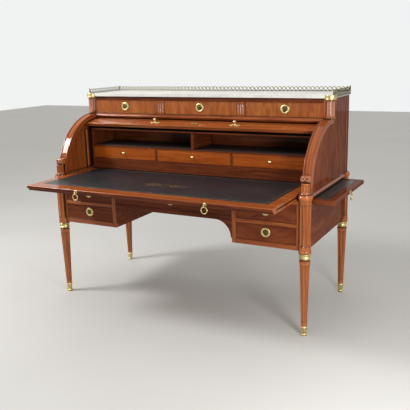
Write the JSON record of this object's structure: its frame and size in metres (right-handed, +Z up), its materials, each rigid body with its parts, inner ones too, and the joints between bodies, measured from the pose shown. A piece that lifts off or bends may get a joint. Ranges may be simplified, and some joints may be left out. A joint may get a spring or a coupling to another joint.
{
  "type": "cylinder desk",
  "caption": "Mahogany cylinder desk: a quarter-round lid turns back over an inner cabinet, a leather-topped slide pulls out to write on, with drawers below and under a marble top.",
  "frame": {"origin": "on the floor, midway between the four feet", "axes": "+X along the front to the sitter's right, +Y to the back, +Z up"},
  "size_m": [1.7438, 1.0645, 1.2485],
  "materials": {
    "mahogany": "French-polished",
    "light_mahogany": "waxed",
    "oak": "planed, unpolished",
    "leather": "waxed, gilt line",
    "marble": "polished",
    "gilt_brass": "gilt and polished",
    "iron": "forged, blackened"
  },
  "bodies": {
    "desk": {"cornice": "mahogany", "dust_boards": "oak", "end_stiles": "mahogany", "fluted_columns": "mahogany", "front_frame": "mahogany", "gallery": "gilt_brass", "inner_cabinet": "light_mahogany", "knee_apron": "mahogany", "leg_brasses": "gilt_brass", "legs": "mahogany", "lower_back": "oak", "lower_sides": "mahogany", "marble_top": "marble", "pedestal_cheeks": "mahogany", "pivot_pins": "iron", "post_rings": "mahogany", "short_posts": "mahogany", "side_rails": "mahogany", "slide_guides": "oak", "top_frame": "mahogany", "upper_back": "oak", "upper_sides": "mahogany"},
    "cylinder": {"cylinder_shell": "mahogany", "cylinder_arms": "iron", "cylinder_handles": "gilt_brass"},
    "front_slide": {"writing_slide": "mahogany", "writing_leather": "leather", "slide_pull_mounts": "gilt_brass"},
    "front_ring_left": {"slide_ring_left": "gilt_brass"},
    "front_ring_right": {"slide_ring_right": "gilt_brass"},
    "side_slide_left_body": {"side_slide_left": "mahogany", "side_leather_left": "leather", "side_pull_mount_left": "gilt_brass"},
    "side_ring_left_body": {"side_ring_left": "gilt_brass"},
    "side_slide_right_body": {"side_slide_right": "mahogany", "side_leather_right": "leather", "side_pull_mount_right": "gilt_brass"},
    "side_ring_right_body": {"side_ring_right": "gilt_brass"},
    "drawer_inner_left_body": {"drawer_inner_left": "light_mahogany", "knob_inner_left": "gilt_brass"},
    "drawer_inner_middle_body": {"drawer_inner_middle": "light_mahogany", "knob_inner_middle": "gilt_brass"},
    "drawer_inner_right_body": {"drawer_inner_right": "light_mahogany", "knob_inner_right": "gilt_brass"},
    "drawer_left_lower_body": {"drawer_left_lower": "mahogany", "lock_left_lower": "gilt_brass"},
    "drawer_left_upper_body": {"drawer_left_upper": "mahogany", "lock_left_upper": "gilt_brass"},
    "drawer_middle_body": {"drawer_middle": "mahogany", "lock_middle": "gilt_brass"},
    "drawer_right_lower_body": {"drawer_right_lower": "mahogany", "lock_right_lower": "gilt_brass"},
    "drawer_right_upper_body": {"drawer_right_upper": "mahogany", "lock_right_upper": "gilt_brass"},
    "drawer_top_left_body": {"drawer_top_left": "mahogany", "lock_top_left": "gilt_brass"},
    "drawer_top_middle_body": {"drawer_top_middle": "mahogany", "lock_top_middle": "gilt_brass"},
    "drawer_top_right_body": {"drawer_top_right": "mahogany", "lock_top_right": "gilt_brass"}
  },
  "joints": [
    {"name": "cylinder_turn", "type": "hinge", "parent": "desk", "child": "cylinder", "pos_m": [0, 0.03, 0.735], "axis": [-1, 0, 0], "range_deg": [-63.6, 0]},
    {"name": "front_slide_run", "type": "slide", "parent": "desk", "child": "front_slide", "axis": [0, -1, 0], "range_m": [-0.31, 0]},
    {"name": "side_slide_left_run", "type": "slide", "parent": "desk", "child": "side_slide_left_body", "axis": [-1, 0, 0], "range_m": [0, 0.25]},
    {"name": "side_slide_right_run", "type": "slide", "parent": "desk", "child": "side_slide_right_body", "axis": [1, 0, 0], "range_m": [-0.115, 0.135]},
    {"name": "front_ring_left_swing", "type": "hinge", "parent": "front_slide", "child": "front_ring_left", "pos_m": [-0.391, -0.683, 0.737], "axis": [-1, 0, 0], "range_deg": [0, 90]},
    {"name": "side_ring_left_swing", "type": "hinge", "parent": "side_slide_left_body", "child": "side_ring_left_body", "pos_m": [-0.806, 0, 0.702], "axis": [0, 1, 0], "range_deg": [0, 90]},
    {"name": "front_ring_right_swing", "type": "hinge", "parent": "front_slide", "child": "front_ring_right", "pos_m": [0.391, -0.683, 0.737], "axis": [-1, 0, 0], "range_deg": [0, 90]},
    {"name": "side_ring_right_swing", "type": "hinge", "parent": "side_slide_right_body", "child": "side_ring_right_body", "pos_m": [0.921, 0, 0.702], "axis": [0, -1, 0], "range_deg": [0, 90]},
    {"name": "drawer_inner_left_run", "type": "slide", "parent": "desk", "child": "drawer_inner_left_body", "axis": [0, -1, 0], "range_m": [0, 0.145]},
    {"name": "drawer_inner_middle_run", "type": "slide", "parent": "desk", "child": "drawer_inner_middle_body", "axis": [0, -1, 0], "range_m": [0, 0.145]},
    {"name": "drawer_inner_right_run", "type": "slide", "parent": "desk", "child": "drawer_inner_right_body", "axis": [0, -1, 0], "range_m": [0, 0.145]},
    {"name": "drawer_left_lower_run", "type": "slide", "parent": "desk", "child": "drawer_left_lower_body", "axis": [0, -1, 0], "range_m": [0, 0.42]},
    {"name": "drawer_left_upper_run", "type": "slide", "parent": "desk", "child": "drawer_left_upper_body", "axis": [0, -1, 0], "range_m": [0, 0.42]},
    {"name": "drawer_middle_run", "type": "slide", "parent": "desk", "child": "drawer_middle_body", "axis": [0, -1, 0], "range_m": [0, 0.42]},
    {"name": "drawer_right_lower_run", "type": "slide", "parent": "desk", "child": "drawer_right_lower_body", "axis": [0, -1, 0], "range_m": [0, 0.42]},
    {"name": "drawer_right_upper_run", "type": "slide", "parent": "desk", "child": "drawer_right_upper_body", "axis": [0, -1, 0], "range_m": [0, 0.42]},
    {"name": "drawer_top_left_run", "type": "slide", "parent": "desk", "child": "drawer_top_left_body", "axis": [0, -1, 0], "range_m": [0, 0.22]},
    {"name": "drawer_top_middle_run", "type": "slide", "parent": "desk", "child": "drawer_top_middle_body", "axis": [0, -1, 0], "range_m": [0, 0.22]},
    {"name": "drawer_top_right_run", "type": "slide", "parent": "desk", "child": "drawer_top_right_body", "axis": [0, -1, 0], "range_m": [0, 0.22]}
  ]
}
